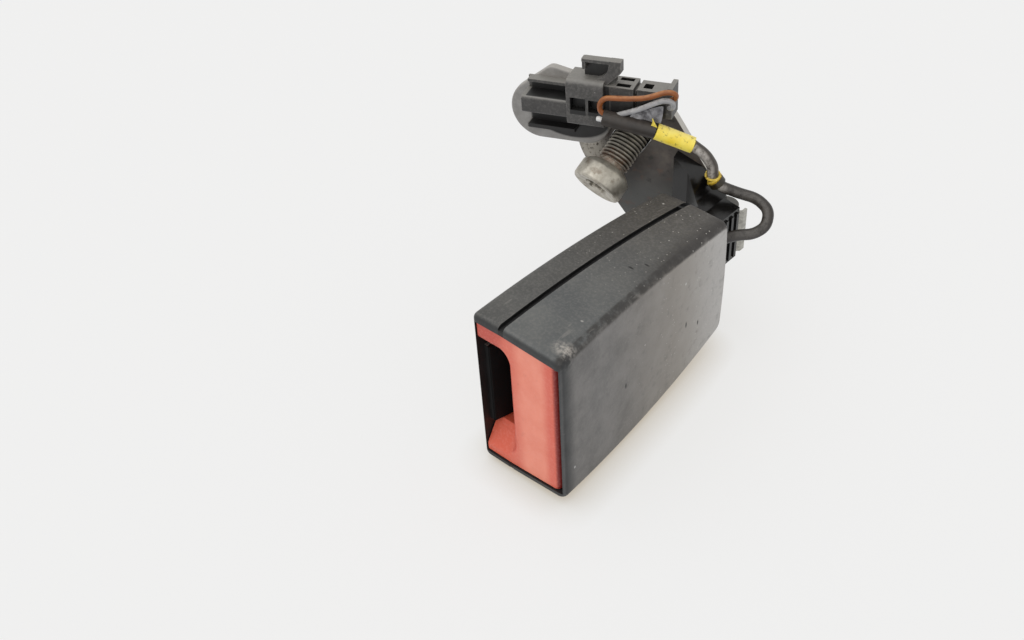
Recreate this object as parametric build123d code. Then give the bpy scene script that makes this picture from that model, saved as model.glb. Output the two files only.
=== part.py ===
from build123d import *
import math
import os

os.makedirs("parts", exist_ok=True)

# Sizes in millimetres. While modelling, X runs through the housing's thickness from the
# tongue side, Y along its length from the front, and Z across its width from the middle.
# The last step moves everything so that the origin is the anchor eye's centre.

# Housing
length = 88.0
frame_half = 17.4
top_front = frame_half + 10.0
top_mid = frame_half + 9.3
top_rear = frame_half + 4.5
low_front = frame_half + 10.2
low_mid = frame_half + 10.8
low_rear = frame_half + 4.4
thick_front = 31.2
cover_out = -0.6
draft = 1.3
taper = 0.074
rear_crown = 1.0
rear_round = 5.2
cover_round = 2.2
main_round = 3.0
front_round = 1.7
wall = 2.2
side_wall = 1.6
lip_top = 2.8
lip_low = 2.3
lip_side = 1.0
lip_depth = 3.8
bay_depth = 23.0
split_x = 10.2
groove = 1.8
groove_depth = 1.2
bridge_tab = 1.1
peg_r = 1.6
peg_fit = 0.06
peg_reach = 6.0
boss_wall = 1.6
gap = 0.3

# Release button
button_y = 0.6
button_depth = 14.2
button_travel = 6.0
button_fit = 0.3
button_wall = 2.0
button_side_gap = 1.4
button_round = 1.8
slot_x = 11.3
slot_corner = 3.5
slot_round = 1.9
slot_top = frame_half + 1.7
slot_low = frame_half + 5.0
slot_slope = 5.0
arm_inner = frame_half - 2.8
leg_t = 2.5
leg_tip_y = length * 0.535

# Steel frame, latch and ejector
frame_front = length / 4
frame_end = length * 0.945
keeper_x = 3.0
plate_t = 2.2
tongue_room = 4.4
neck_y = length * 0.75
pin_x = 16.5
pin_y = length * 0.66
pin_r = 2.0
pin_fit = 0.03
ear_top = 24.6
latch_angle = 16.0
latch_half = frame_half - 9.4
tooth_half = frame_half - 11.4
tooth_y = length * 0.39
tooth_t = 4.0
tooth_tip = 3.8
lug_x = 17.5
lug_y = length * 0.51
lug_r = 1.3
ramp_gap = 0.22
bridge_x = 22.8
bridge_t = 1.6
bridge_y = length * 0.465
bridge_w = 7.6
ejector_y = length * 0.455
ejector_len = 10.0
ejector_half = frame_half - plate_t - 2.0
ejector_travel = 9.0
magnet_r = 1.5
magnet_z = frame_half - 8.4
rivet_r = 3.0
rivet_head_r = 4.8
rivet_head = 1.2
rivet_pitch = length / 8
rivet_y = length * 0.765

# Anchor bracket and bolt
strap_t = 3.0
strap_half = 10.6
strap_low = 4.2
strap_front = length * 0.71
bend_out = 22.45
bend_turn = 110.0
bend_r = 3.4
eye_reach = 37.6
eye_z = 27.9
eye_r = 18.2
foot_reach = 33.4
foot_r = 7.0
hole_long = 17.7
hole_wide = 11.5
bolt_r = 5.55
bolt_neck_r = 4.85
bolt_neck = 1.6
bolt_out = 12.4
bolt_in = 23.3
bolt_head_r = 8.75
bolt_head = 8.4
bolt_droop = 34.0
bolt_yaw = -4.5
socket_depth = 4.0
washer_at = 10.7
washer_r = 9.6
washer_t = 1.2
washer_seat_r = 5.0
washer_fit = 0.05

# Switch lead and connector
cable_r = 1.8
cable_x = 18.3
cable_z = 8.0
grommet_neck_r = 2.4
grommet_r = 3.05
tape_r = 2.6
sleeve_r = 2.5
wire_r = 0.9
sensor_end = length * 0.91
connector_tilt = 1.0
connector_left = 8.33
connector_up = 17.9
holder_t = 2.4
collar_c = 11.5
neck_c = 10.2
lock_c = 9.3

bend_y = length + bend_out
foot_z = foot_r - strap_low + 0.2
frame_neck = strap_half + 0.4
leg_z = frame_half - plate_t - leg_t - 0.4
steel_x = keeper_x + plate_t + tongue_room
strap_x = steel_x + plate_t
strap_mid = strap_x + strap_t / 2
seat_y = length - rear_crown - wall


def through(y, first, middle, last):
    t = y / (length - rear_crown)
    return first * (1 - t) * (1 - 2 * t) + 4 * middle * t * (1 - t) + last * t * (2 * t - 1)


def top_z(y):
    return through(y, top_front, top_mid, top_rear)


def low_z(y):
    return -through(y, low_front, low_mid, low_rear)


def half_width(y):
    return min(top_z(y), -low_z(y))


def right_x(y, inset=0.0):
    return thick_front - taper * y - inset * math.hypot(1, taper)


def outline(inset, front):
    rear = length - rear_crown - inset
    stations = (front, (front + rear) / 2, rear)
    top = [(y, top_z(y) - inset) for y in stations]
    low = [(y, low_z(y) + inset) for y in stations]
    with BuildSketch(Plane.YZ) as sketch:
        with BuildLine():
            ThreePointArc(top[0], top[1], top[2])
            ThreePointArc(top[2], (rear + rear_crown, 0), low[2])
            ThreePointArc(low[2], low[1], low[0])
            Line(low[0], top[0])
        make_face()
        corners = [v for v in sketch.vertices() if v.X > rear - 0.1]
        fillet(corners, rear_round - inset)
    return sketch.sketch


def box(x0, x1, y0, y1, z0, z1):
    return Pos((x0 + x1) / 2, (y0 + y1) / 2, (z0 + z1) / 2) * Box(x1 - x0, y1 - y0, z1 - z0)


def rod_x(x0, x1, y, z, radius):
    return Pos((x0 + x1) / 2, y, z) * Rot(0, 90, 0) * Cylinder(radius, x1 - x0)


def rod_y(x, y0, y1, z, radius):
    return Pos(x, (y0 + y1) / 2, z) * Rot(90, 0, 0) * Cylinder(radius, y1 - y0)


def rod_z(x, y, z0, z1, radius):
    return Pos(x, y, (z0 + z1) / 2) * Cylinder(radius, z1 - z0)


def plan(points, z0, z1):
    face = make_face(Polyline(*[(x, y, z0) for x, y in points], close=True))
    return extrude(face, z1 - z0, dir=(0, 0, 1))


def side(points, x0, x1):
    face = make_face(Polyline(*[(x0, y, z) for y, z in points], close=True))
    return extrude(face, x1 - x0, dir=(1, 0, 0))


def front(points, y0, y1):
    face = make_face(Polyline(*[(x, y0, z) for x, z in points], close=True))
    return extrude(face, y1 - y0, dir=(0, 1, 0))


def both(shape):
    return shape + mirror(shape, about=Plane.XY)


def beyond_right(inset):
    reach = length + 20
    points = [
        (right_x(-20, inset), -20),
        (right_x(reach, inset), reach),
        (thick_front + 30, reach),
        (thick_front + 30, -20),
    ]
    return plan(points, -low_mid - 10, top_front + 10)


def coil(start, direction, height, radius, wire, turns):
    path = Helix(pitch=(height - wire) / turns, height=height - wire, radius=radius)
    ring = Plane(path @ 0, z_dir=path % 0) * Circle(wire / 2)
    spring = Pos(0, 0, wire / 2) * sweep(ring, path=path, is_frenet=True)
    return Plane(start, z_dir=direction).location * spring


def tube(points, radius, closing=0.45):
    places = [Vector(p) for p in points]
    radii = []
    for a, b, c in zip(places, places[1:], places[2:]):
        turn = math.radians((b - a).get_angle(c - b))
        shorter = min((b - a).length, (c - b).length)
        radii.append(closing * shorter / math.tan(turn / 2))
    path = FilletPolyline(*places, radius=radii)
    ring = Plane(path @ 0, z_dir=path % 0) * Circle(radius)
    solid = sweep(ring, path=path)
    print(
        "tube radii",
        [round(r, 1) for r in radii],
        "volume ratio",
        round(solid.volume / (math.pi * radius**2 * path.length), 4),
        "length",
        round(path.length, 1),
    )
    return solid


nodes = {}

# Housing shells: each a hollow block with rounded rims, and a groove where they meet
def block(left, inset, front_y):
    return Pos(left, 0, 0) * extrude(outline(inset, front_y), split_x - left)


def drafted(inset, front_y):
    ends = [
        Pos(split_x, 0, 0) * outline(inset, front_y),
        Pos(thick_front, 0, 0) * outline(inset + draft, front_y),
    ]
    return loft(ends, ruled=True) - beyond_right(inset)


def rounded(form, rim, radius):
    form = fillet([e for e in rim.edges() if e.center().Y > 0.5], radius)
    face = form.faces().sort_by(Axis.Y)[0]
    return fillet([e for e in face.edges() if abs(e.center().X - split_x) > 0.01], front_round)


cover = block(cover_out, 0, 0)
cover = rounded(cover, cover.faces().sort_by(Axis.X)[0], cover_round)
main = drafted(0, 0)
main = rounded(main, main.faces().sort_by(Axis.X)[-1], main_round)
mouth_top = top_front - lip_top
mouth_low = -low_front + lip_low


def beyond_line(z, depth):
    edge = thick_front + 9
    drop = draft * (edge - split_x) / (thick_front - split_x)
    side_of = 1 if z > 0 else -1
    points = [(-5, z), (split_x, z), (edge, z - drop * side_of), (edge, 60 * side_of), (-5, 60 * side_of)]
    return front(points, -9, depth)


lips = beyond_line(mouth_top, lip_depth) + beyond_line(mouth_low, lip_depth)
groove_ring = extrude(outline(-3, -6), groove) - extrude(outline(groove_depth, -7), groove)
groove_ring -= box(-1, groove + 1, length * 0.91, length * 0.91 + bridge_tab, 0, top_front + 5)
groove_ring = Pos(split_x - groove / 2, 0, 0) * groove_ring
arm_bay = box(cover_out + lip_side, side_wall + 1, -9, bay_depth, arm_inner - 0.2, mouth_top)
arm_bay += box(cover_out + lip_side, side_wall + 1, -9, bay_depth, mouth_low, 0.2 - arm_inner)
arm_bay += box(cover_out + lip_side, side_wall + 1, -9, button_y + 2.4, mouth_low, mouth_top)
side_bay = box(split_x + 5, 60, -9, bay_depth, mouth_low + draft, mouth_top - draft)
cover -= block(side_wall, wall, -8) - lips
cover -= arm_bay
cover -= groove_ring
main -= drafted(wall, -8) - lips
main -= side_bay - beyond_right(lip_side)
main -= groove_ring

boss_r = peg_r + peg_fit + boss_wall
front_peg = (length * 0.55, frame_half + boss_r + 0.2)
rear_peg = (length * 0.9, half_width(length * 0.9) - wall - boss_r - 0.2)
for y, z in (front_peg, rear_peg):
    for place in (z, -z):
        cover += rod_x(side_wall - 0.3, split_x + peg_reach, y, place, peg_r)
        main += rod_x(split_x, right_x(y + boss_r, wall) + 0.4, y, place, boss_r)
        main -= rod_x(split_x - 1, split_x + peg_reach + 0.4, y, place, peg_r + peg_fit)
for y in (length * 0.34, length * 0.64):
    cover += box(side_wall - 0.2, keeper_x, y - 1, y + 1, -12, 12)
spring_seat = leg_tip_y - 10.2
spring_z = frame_half + 0.5 + 2.3
seat_rib = box(13, right_x(spring_seat, wall) + 0.3, spring_seat, spring_seat + 2, frame_half + 0.3,
               half_width(spring_seat) - wall + 0.3)
main += both(seat_rib)
main -= box(split_x - 1, strap_x + strap_t + 0.2, seat_y - 6, length + 4, -strap_half - 0.25,
            strap_half + 0.25)
main -= rod_y(cable_x, seat_y - 2, length + 4, cable_z, grommet_neck_r)
nodes["cover_shell"] = cover
nodes["main_shell"] = main

# Release button: a C round the tongue slot, with two cam legs that lift the latch
button_back = button_y + button_depth
button_top = mouth_top - button_fit
button_low = mouth_low + button_fit
button_left = cover_out + lip_side + button_fit
button_plan = [
    (button_left, button_y),
    (right_x(button_y, lip_side) - button_side_gap, button_y),
    (right_x(button_back, lip_side) - button_side_gap, button_back),
    (button_left, button_back),
]
body = plan(button_plan, button_low, button_top)
body -= beyond_line(button_top, bay_depth) + beyond_line(button_low, bay_depth)
face_edge = [e for e in body.edges().filter_by(Axis.Z) if e.center().Y < button_y + 0.1]
body = fillet(sorted(face_edge, key=lambda e: e.center().X)[-1:], button_round)


def slot_profile(y, high, low):
    shape = RectangleRounded(slot_x + 12, high - low, slot_corner)
    return Plane((0, y, 0), x_dir=(1, 0, 0), z_dir=(0, -1, 0)) * Pos(slot_x / 2 - 6, (high + low) / 2) * shape


funnel = [
    slot_profile(button_y, slot_top, -slot_low),
    slot_profile(button_y + slot_slope, arm_inner, -arm_inner),
]
body -= loft(funnel, ruled=True)
body -= extrude(slot_profile(button_y + slot_slope, arm_inner, -arm_inner), button_depth, dir=(0, 1, 0))
body = body.solids().sort_by(SortBy.VOLUME)[-1]
slot_rim = [e for e in body.edges() if abs(e.center().Y - button_y) < 0.01]
slot_rim = [e for e in slot_rim if e.center().X < slot_x + 0.1 and button_low + 1 < e.center().Z < button_top - 1]
slot_rim = [e for e in slot_rim if e.center().X > button_left + 0.1]
body = fillet(slot_rim, slot_round)
pocket = [
    (slot_x + button_wall, button_y + button_wall),
    (right_x(button_y, lip_side) - button_side_gap - button_wall, button_y + button_wall),
    (right_x(button_back, lip_side) - button_side_gap - button_wall, button_back + 1),
    (slot_x + button_wall, button_back + 1),
]
body -= plan(pocket, button_low + button_wall, button_top - button_wall)
latch_turn = math.radians(latch_angle)
lug_from = (lug_x - pin_x, lug_y - pin_y)
lug_to = (
    pin_x + lug_from[0] * math.cos(latch_turn) - lug_from[1] * math.sin(latch_turn),
    pin_y + lug_from[0] * math.sin(latch_turn) + lug_from[1] * math.cos(latch_turn) - button_travel,
)
ramp = (lug_to[0] - lug_x, lug_to[1] - lug_y)
ramp_long = math.hypot(*ramp)
off = (ramp[1] / ramp_long * (lug_r + ramp_gap), -ramp[0] / ramp_long * (lug_r + ramp_gap))
ramp_low = (lug_x + off[0], lug_y + off[1])
ramp_high = (lug_to[0] + off[0], lug_to[1] + off[1])
leg_x = strap_x + 0.5
leg_tip_x = ramp_low[0] - (leg_tip_y - ramp_low[1]) * ramp[0] / -ramp[1]
leg_points = [
    (leg_x, button_y + 0.5),
    (leg_x, leg_tip_y),
    (leg_tip_x, leg_tip_y),
    ramp_low,
    ramp_high,
    (ramp_high[0], button_y + 0.5),
]
body += both(plan(leg_points, leg_z, leg_z + leg_t))
body += both(box(14, 20.5, button_back - 2, button_back, frame_half + 0.2, button_top - 0.2))
nodes["release_button"] = body

springs = []
for place in (spring_z, -spring_z):
    springs.append(coil((17.2, button_back, place), (0, 1, 0), spring_seat - button_back, 1.7, 0.6, 7))
nodes["button_springs"] = Compound(springs)

# Tongue guide that lines the slot
guide_end = frame_front - 0.4
guide_half = arm_inner - 0.4
lead_in = [
    (side_wall, button_y + 2.4),
    (side_wall + 0.8, button_y + 2.4),
    (keeper_x + plate_t, frame_front - 8.0),
    (keeper_x + plate_t, guide_end),
    (side_wall, guide_end),
]
guide = plan(lead_in, -guide_half, guide_half)
guide += both(box(side_wall, slot_x - gap - 2.0, frame_front - 11.8, guide_end, guide_half - 1.8, guide_half))
nodes["tongue_guide"] = guide

# Steel frame: a plate with two ears for the latch pin, and a keeper on the tongue's far side
frame_outline = [
    (frame_front, frame_half),
    (neck_y, frame_half),
    (neck_y + 2.5, frame_neck),
    (frame_end, frame_neck),
    (frame_end, -frame_neck),
    (neck_y + 2.5, -frame_neck),
    (neck_y, -frame_half),
    (frame_front, -frame_half),
]
ear_points = [
    (strap_x, frame_front + 5.0),
    (ear_top, bridge_y - bridge_w / 2 - 2.4),
    (ear_top, bridge_y + bridge_w / 2 + 2.2),
    (pin_x + 4.2, pin_y - 6.0),
    (pin_x + 4.2, pin_y + 5.0),
    (strap_x, neck_y),
]
frame = side(frame_outline, steel_x, strap_x)
frame += both(plan(ear_points, frame_half - plate_t, frame_half))
frame -= box(steel_x - 1, strap_x + 1, tooth_y - 4.2, tooth_y + tooth_t + 0.7, -tooth_half - 0.6,
             tooth_half + 0.6)
frame -= rod_z(pin_x, pin_y, -frame_half - 1, frame_half + 1, pin_r + pin_fit)
frame -= both(box(bridge_x - 0.05, bridge_x + bridge_t + 0.05, bridge_y - bridge_w / 2 - 0.05,
                  bridge_y + bridge_w / 2 + 0.05, frame_half - plate_t - 1, frame_half + 1))
keeper = side(frame_outline, keeper_x, keeper_x + plate_t)
keeper += both(box(keeper_x + plate_t, steel_x, frame_front, neck_y - 4, frame_half - plate_t, frame_half))
keeper -= box(keeper_x - 1, keeper_x + plate_t + 1, tooth_y - 2.2, tooth_y + tooth_t + 0.7,
              -tooth_half - 0.6, tooth_half + 0.6)
spacer = box(keeper_x + plate_t, steel_x, strap_front + 0.6, frame_end, 8.4 - frame_half,
             frame_half - 8.4)
spacer += both(box(keeper_x + plate_t, steel_x, neck_y - 1, neck_y + 1.2, frame_half - 9.4,
                   frame_half - plate_t - 0.3))
rivets = []
for y in (rivet_y, rivet_y + rivet_pitch):
    frame -= rod_x(steel_x - 1, strap_x + 1, y, 0, rivet_r)
    keeper -= rod_x(keeper_x - 1, keeper_x + plate_t + 1, y, 0, rivet_r)
    spacer -= rod_x(keeper_x, strap_x, y, 0, rivet_r)
    rivet = rod_x(keeper_x - rivet_head, strap_x + strap_t + rivet_head, y, 0, rivet_r)
    for x in (keeper_x - rivet_head, strap_x + strap_t):
        rivet += rod_x(x, x + rivet_head, y, 0, rivet_head_r)
    rims = [e for e in rivet.edges().filter_by(GeomType.CIRCLE) if abs(e.radius - rivet_head_r) < 0.01]
    rims = [e for e in rims if not keeper_x - 0.1 < e.center().X < strap_x + strap_t + 0.1]
    rivets.append(fillet(rims, 0.7))
nodes["latch_frame"] = frame
nodes["keeper_plate"] = keeper
nodes["frame_spacer"] = spacer
nodes["frame_rivets"] = Compound(rivets)

# Latch on its pin, with the bridge that its spring stands on
arm_x = strap_x + 0.8
arm_t = 2.5
latch = box(arm_x, arm_x + arm_t, tooth_y, pin_y, -latch_half, latch_half)
latch += rod_z(pin_x, pin_y, -latch_half, latch_half, pin_r + 1.7)
latch += box(tooth_tip, arm_x + arm_t, tooth_y, tooth_y + tooth_t, -tooth_half, tooth_half)
tips = [e for e in latch.edges().filter_by(Axis.Z) if abs(e.center().X - tooth_tip) < 0.01]
latch = fillet(tips, 0.8)
latch += box(arm_x + arm_t - 0.2, lug_x, lug_y - lug_r, lug_y + lug_r, -latch_half, latch_half)
latch += rod_z(lug_x, lug_y, -leg_z - leg_t + 0.3, leg_z + leg_t - 0.3, lug_r)
latch -= rod_z(pin_x, pin_y, -latch_half - 1, latch_half + 1, pin_r + pin_fit)
nodes["latch"] = latch
pin = rod_z(pin_x, pin_y, -frame_half - 0.8, frame_half + 0.8, pin_r)
nodes["latch_pin"] = pin
bridge = box(bridge_x, bridge_x + bridge_t, bridge_y - bridge_w / 2, bridge_y + bridge_w / 2,
             -frame_half, frame_half)
bridge += rod_x(bridge_x - 1.4, bridge_x, bridge_y, 0, 1.5)
nodes["latch_bridge"] = bridge
nodes["latch_spring"] = coil((arm_x + arm_t, bridge_y, 0), (1, 0, 0), bridge_x - arm_x - arm_t, 2.2, 0.6, 4)

# Ejector that pushes the tongue out, with the magnet that the sensor reads
ejector_end = ejector_y + ejector_len
channel = (keeper_x + plate_t + 0.2, steel_x - 0.2)
ejector = box(channel[0], channel[1], ejector_y, ejector_end, -ejector_half, ejector_half)
ejector -= box(channel[0] - 1, channel[1] + 1, ejector_y - 1, ejector_y + 3.6, -tooth_half - 0.8,
               tooth_half + 0.8)
ejector -= rod_x(channel[0] + 0.6, channel[1] + 1, ejector_end - 2.4, magnet_z, magnet_r)
nodes["ejector"] = ejector
nodes["ejector_magnet"] = rod_x(channel[0] + 0.6, channel[1], ejector_end - 2.4, magnet_z, magnet_r)
springs = []
for place in (ejector_half - 2.0, 2.0 - ejector_half):
    start = ((channel[0] + channel[1]) / 2, ejector_end, place)
    springs.append(coil(start, (0, 1, 0), neck_y - 1 - ejector_end, 1.3, 0.5, 7))
nodes["ejector_springs"] = Compound(springs)

# Sensor module on the strap, and the grommet that its cable leaves by
sensor = box(strap_x + strap_t, right_x(sensor_end, wall) - 0.6, strap_front + 1.4, sensor_end, -9.5, 10.5)
for y in (rivet_y, rivet_y + rivet_pitch):
    sensor -= rod_x(strap_x, strap_x + strap_t + rivet_head + 0.2, y, 0, rivet_head_r + 0.3)
nodes["sensor_module"] = sensor
grommet = rod_y(cable_x, seat_y - 1.5, length + 1.5, cable_z, grommet_neck_r)
grommet += rod_y(cable_x, seat_y - 1.5, seat_y, cable_z, grommet_r)
grommet += rod_y(cable_x, length, length + 1.5, cable_z, grommet_r)
grommet -= rod_y(cable_x, seat_y - 3, length + 4, cable_z, cable_r)
nodes["cable_grommet"] = grommet

# Anchor bracket: a strap out of the housing, bent to the side into a plate with an eye
corner = Vector(strap_mid, bend_y, 0)
lean = math.radians(bend_turn - 90)
along = Vector(math.cos(lean), math.sin(lean), 0)
facing = Vector(math.sin(lean), -math.cos(lean), 0)
eye = corner - along * eye_reach + Vector(0, 0, eye_z)
plate_root = bend_r * math.tan(math.radians(bend_turn) / 2)


def strap_sheet(thick, half):
    stub = corner - along * (plate_root + 2)
    with BuildSketch() as sketch:
        with BuildLine() as line:
            FilletPolyline((strap_mid, strap_front), (corner.X, corner.Y), (stub.X, stub.Y), radius=bend_r)
        trace(line.line, line_width=thick)
    return Pos(0, 0, -half) * extrude(sketch.sketch, 2 * half)


plate_plane = Plane(corner, x_dir=-along, z_dir=-facing)


def eye_plate(thick, grow):
    with BuildSketch() as sketch:
        with BuildLine():
            CenterArc((eye_reach, eye_z), eye_r + grow, 0, 360)
            CenterArc((foot_reach, foot_z), foot_r + grow, 0, 360)
            Line((plate_root, strap_half + grow), (plate_root, -strap_low - grow))
        make_hull()
    return plate_plane.location * extrude(sketch.sketch, thick / 2, both=True)


droop = math.radians(bolt_droop)
yaw = math.radians(bolt_yaw)
bolt_axis = Vector(-math.sin(yaw) * math.cos(droop), math.cos(yaw) * math.cos(droop), math.sin(droop))
hole_turn = math.degrees(math.atan2(bolt_axis.Z, -bolt_axis.dot(along)))
eye_hole = SlotOverall(hole_long, hole_wide, rotation=hole_turn)
eye_cut = plate_plane.location * Pos(eye_reach, eye_z, 0) * extrude(eye_hole, strap_t, both=True)
below = box(-60, thick_front, length + 0.6, bend_y + 20, -strap_half - 5, -strap_low)
bracket = strap_sheet(strap_t, strap_half) - below + eye_plate(strap_t, 0) - eye_cut
for y in (rivet_y, rivet_y + rivet_pitch):
    bracket -= rod_x(strap_x - 1, strap_x + strap_t + 1, y, 0, rivet_r)
nodes["anchor_bracket"] = bracket

# Captive bolt that hangs in the eye, and the washer that keeps it there
bolt_plane = Plane(eye, x_dir=bolt_axis.cross(Vector(0, 0, 1)), z_dir=bolt_axis)
with BuildSketch(Plane.XZ) as half_bolt:
    with BuildLine():
        Polyline(
            (0, -bolt_out - bolt_head),
            (bolt_head_r - 0.6, -bolt_out - bolt_head),
            (bolt_head_r, -bolt_out - bolt_head + 0.6),
            (bolt_head_r, -bolt_out - 2.2),
            (bolt_head_r - 2.4, -bolt_out),
            (bolt_neck_r, -bolt_out),
            (bolt_neck_r, -bolt_out + bolt_neck),
            (bolt_r, -bolt_out + bolt_neck + 0.7),
            (bolt_r, washer_at - 0.3),
            (washer_seat_r, washer_at - 0.3),
            (washer_seat_r, washer_at + washer_t + 0.3),
            (bolt_r, washer_at + washer_t + 0.3),
            (bolt_r, bolt_in - 1.2),
            (bolt_r - 1.2, bolt_in),
            (0, bolt_in),
            close=True,
        )
    make_face()
bolt = revolve(half_bolt.sketch, Axis.Z)
lobes = Circle(3.3)
for k in range(6):
    lobes += Rot(0, 0, 60 * k) * Pos(3.5, 0) * Circle(1.0)
bolt -= Pos(0, 0, -bolt_out - bolt_head) * extrude(lobes, socket_depth)
nodes["anchor_bolt"] = bolt_plane.location * bolt
washer = Cylinder(washer_r, washer_t) - Cylinder(washer_seat_r + washer_fit, washer_t * 2)
nodes["retaining_washer"] = bolt_plane.location * Pos(0, 0, washer_at + washer_t / 2) * washer

# Boot over the bracket's bend, with grip ribs and a saddle for the cable
boot_left = corner - along * 21.4 + facing * (strap_t / 2 + 0.1)
boot_bend = corner - along * 4.4 + facing * (strap_t / 2 + 0.1)
boot_right = strap_x + strap_t + 2.2
boot_plan = [
    (boot_left.X, boot_left.Y),
    (boot_bend.X, boot_bend.Y),
    (strap_x - 0.4, boot_bend.Y - 3.6),
    (boot_right, boot_bend.Y - 3.6),
    (boot_right, length + 3.4),
    (strap_x + strap_t + 0.1, length + 3.4),
    (strap_x + strap_t + 0.1, length + 0.5),
    (strap_x - 3.4, length + 0.5),
    (strap_x - 3.4, length + 5.0),
    (0.6, boot_left.Y - 4.0),
    (boot_left.X + 0.9, boot_left.Y - 3.4),
]
boot_top = strap_half + 2.4
boot_low = -strap_low - 2.0
boot_front = [
    (boot_right + 1, boot_low),
    (boot_right + 1, boot_top),
    (11.0, boot_top + 1.3),
    (7.0, boot_top + 3.6),
    (1.5, boot_top + 9.4),
    (boot_left.X - 1, boot_top + 14.2),
    (boot_left.X - 1, boot_low + 5.0),
    (boot_left.X + 7, boot_low),
]
boot = plan(boot_plan, boot_low, boot_top + 20) & front(boot_front, length, bend_y)
boot -= strap_sheet(strap_t + 0.2, strap_half + 0.1)
for k in range(4):
    y = length + 5.0 + 2.9 * k
    boot += box(boot_right - 0.1, boot_right + 0.6, y, y + 1.2, boot_low + 1.0, boot_top - 1.2)

# Switch lead: cable with its loop, marker tape, sleeve, and the two single wires
lead = [
    (cable_x, sensor_end, cable_z),
    (cable_x, length + 3.6, cable_z),
    (21.2, length + 9.0, 8.0),
    (25.4, length + 11.4, 8.8),
    (28.0, length + 14.2, 11.3),
    (26.4, length + 18.0, 14.6),
    (20.8, length + 19.5, 16.2),
    (15.0, length + 17.5, 16.9),
    (9.8, length + 14.6, 19.0),
    (7.9, length + 12.9, 22.6),
    (8.2, length + 12.3, 26.8),
    (6.6, length + 10.1, 31.6),
    (3.3, length + 7.7, 34.9),
]
tilt = math.radians(connector_tilt)
reach = along * math.cos(tilt) + Vector(0, 0, math.sin(tilt))
connector_at = eye - along * connector_left + facing * (strap_t / 2) + Vector(0, 0, connector_up)
connector_plane = Plane(connector_at, x_dir=reach, z_dir=facing)
tape_end = connector_plane.from_local_coords(Vector(20.1, -6.8, 11.5))
sleeve_end = connector_plane.from_local_coords(Vector(3.7, -3.0, 14.2))
nodes["switch_cable"] = tube(lead, cable_r)
nodes["strap_boot"] = boot - nodes["switch_cable"]


def straight(a, b, radius):
    a, b = Vector(a), Vector(b)
    ring = Plane(a, z_dir=b - a) * Circle(radius)
    return extrude(ring, (b - a).length, dir=(b - a).normalized())


nodes["marker_tape"] = straight(lead[-1], tape_end, tape_r) - nodes["switch_cable"]
nodes["cable_sleeve"] = straight(tape_end, sleeve_end, sleeve_r) - nodes["marker_tape"]
tie_axis = Vector(lead[9]) - Vector(lead[8])
tie_mid = (Vector(lead[9]) + Vector(lead[8])) * 0.5
tie_plane = Plane(tie_mid, x_dir=tie_axis.cross(Vector(0, 0, 1)), z_dir=tie_axis)
tie = Cylinder(cable_r + 0.9, 2.2) + Pos(cable_r + 1.5, 0, 0) * Box(2.4, 3.0, 2.8)
nodes["cable_tie"] = tie_plane.location * tie - nodes["switch_cable"]

# Connector, held flat against the eye by its holder's hook.
# In its own plane: first along the plate, then up it, then out from it.
set_down = connector_plane.location
deck = holder_t + 0.1
with BuildSketch() as oval:
    with BuildLine():
        CenterArc((-22.1, -10.3), 10.4, 0, 360)
        CenterArc((-17.0, 2.6), 3.2, 0, 360)
        CenterArc((-6.5, -12.2), 8.4, 0, 360)
        CenterArc((-4.0, 0.0), 3.0, 0, 360)
    make_hull()
holder = Pos(0, 0, 0.1) * extrude(oval.sketch, holder_t)
rim = [e for e in holder.edges() if e.center().Z > deck - 0.1]
holder = fillet(rim, 0.7)
hook = box(-11, -2, -9.5, 0, -strap_t - 2.4, 0.4)
nodes["connector_holder"] = set_down * (holder + hook) - eye_plate(strap_t + 0.2, 0.1)

body = box(-25.0, -8.6, -14.6, 2.4, deck, deck + 0.9)
bar = box(-25.4, -8.6, -7.8, -1.7, deck, collar_c - 1.6)
bar_edges = [e for e in bar.edges().filter_by(Axis.X) if e.center().Z > deck + 1]
body += fillet(bar_edges, 1.2)
body += box(-24.4, -8.6, 1.4, 2.4, deck, deck + 3.4)
body += box(-25.0, -8.6, -14.6, -13.2, deck, deck + 4.4)
body -= box(-26.4, -12.6, -6.4, -3.1, deck + 1.6, collar_c - 3.2)
collar = box(-9.3, 2.9, -9.2, 6.8, deck, collar_c)
collar_edges = [e for e in collar.edges().filter_by(Axis.X) if e.center().Z > deck + 1]
collar = fillet(collar_edges, 2.2)
collar -= box(-7.9, -2.9, -3.4, 0.9, collar_c - 2.6, collar_c + 1)
collar -= box(-1.9, 1.4, -3.5, 0.6, collar_c - 2.6, collar_c + 1)
body += collar
neck = box(2.9, 12.3, -4.4, 5.6, deck, neck_c)
neck -= box(6.5, 11.0, 3.6, 7, 3.2, 5.0)
neck -= box(6.5, 11.0, 3.6, 7, 7.2, 9.2)
body += neck
lever_c = neck_c - 3.6
arm_curve = [
    ThreePointArc((-1.6, 6.6), (2.6, 8.4), (4.4, 12.4)),
    Polyline((4.4, 12.4), (4.4, 13.6), (8.2, 13.6), (8.2, 10.0), (3.4, 5.4), (-1.6, 5.4), (-1.6, 6.6)),
]
body += Pos(0, 0, lever_c) * extrude(make_face(arm_curve), 2.8)
top_bar = box(-4.5, 8.2, 12.5, 13.6, lever_c, lever_c + 2.8)
top_edges = [e for e in top_bar.edges().filter_by(Axis.X) if e.center().Y > 13]
body += fillet(top_edges, 0.4)
body += box(-4.5, 6.0, 6.0, 13.0, lever_c - 1.0, lever_c)
body += box(-4.5, -3.4, 9.8, 13.0, lever_c, lever_c + 2.4)
nodes["connector_body"] = set_down * body
lock = box(13.3, 22.9, -3.4, 5.2, deck, lock_c)
lock -= box(14.7, 17.6, 3.2, 7, 4.6, 7.6)
lock += box(12.3, 13.3, -2.6, 4.2, deck + 0.4, lock_c - 1.4)
lock += box(22.9, 24.4, -3.4, 6.8, deck, lock_c)
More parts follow.
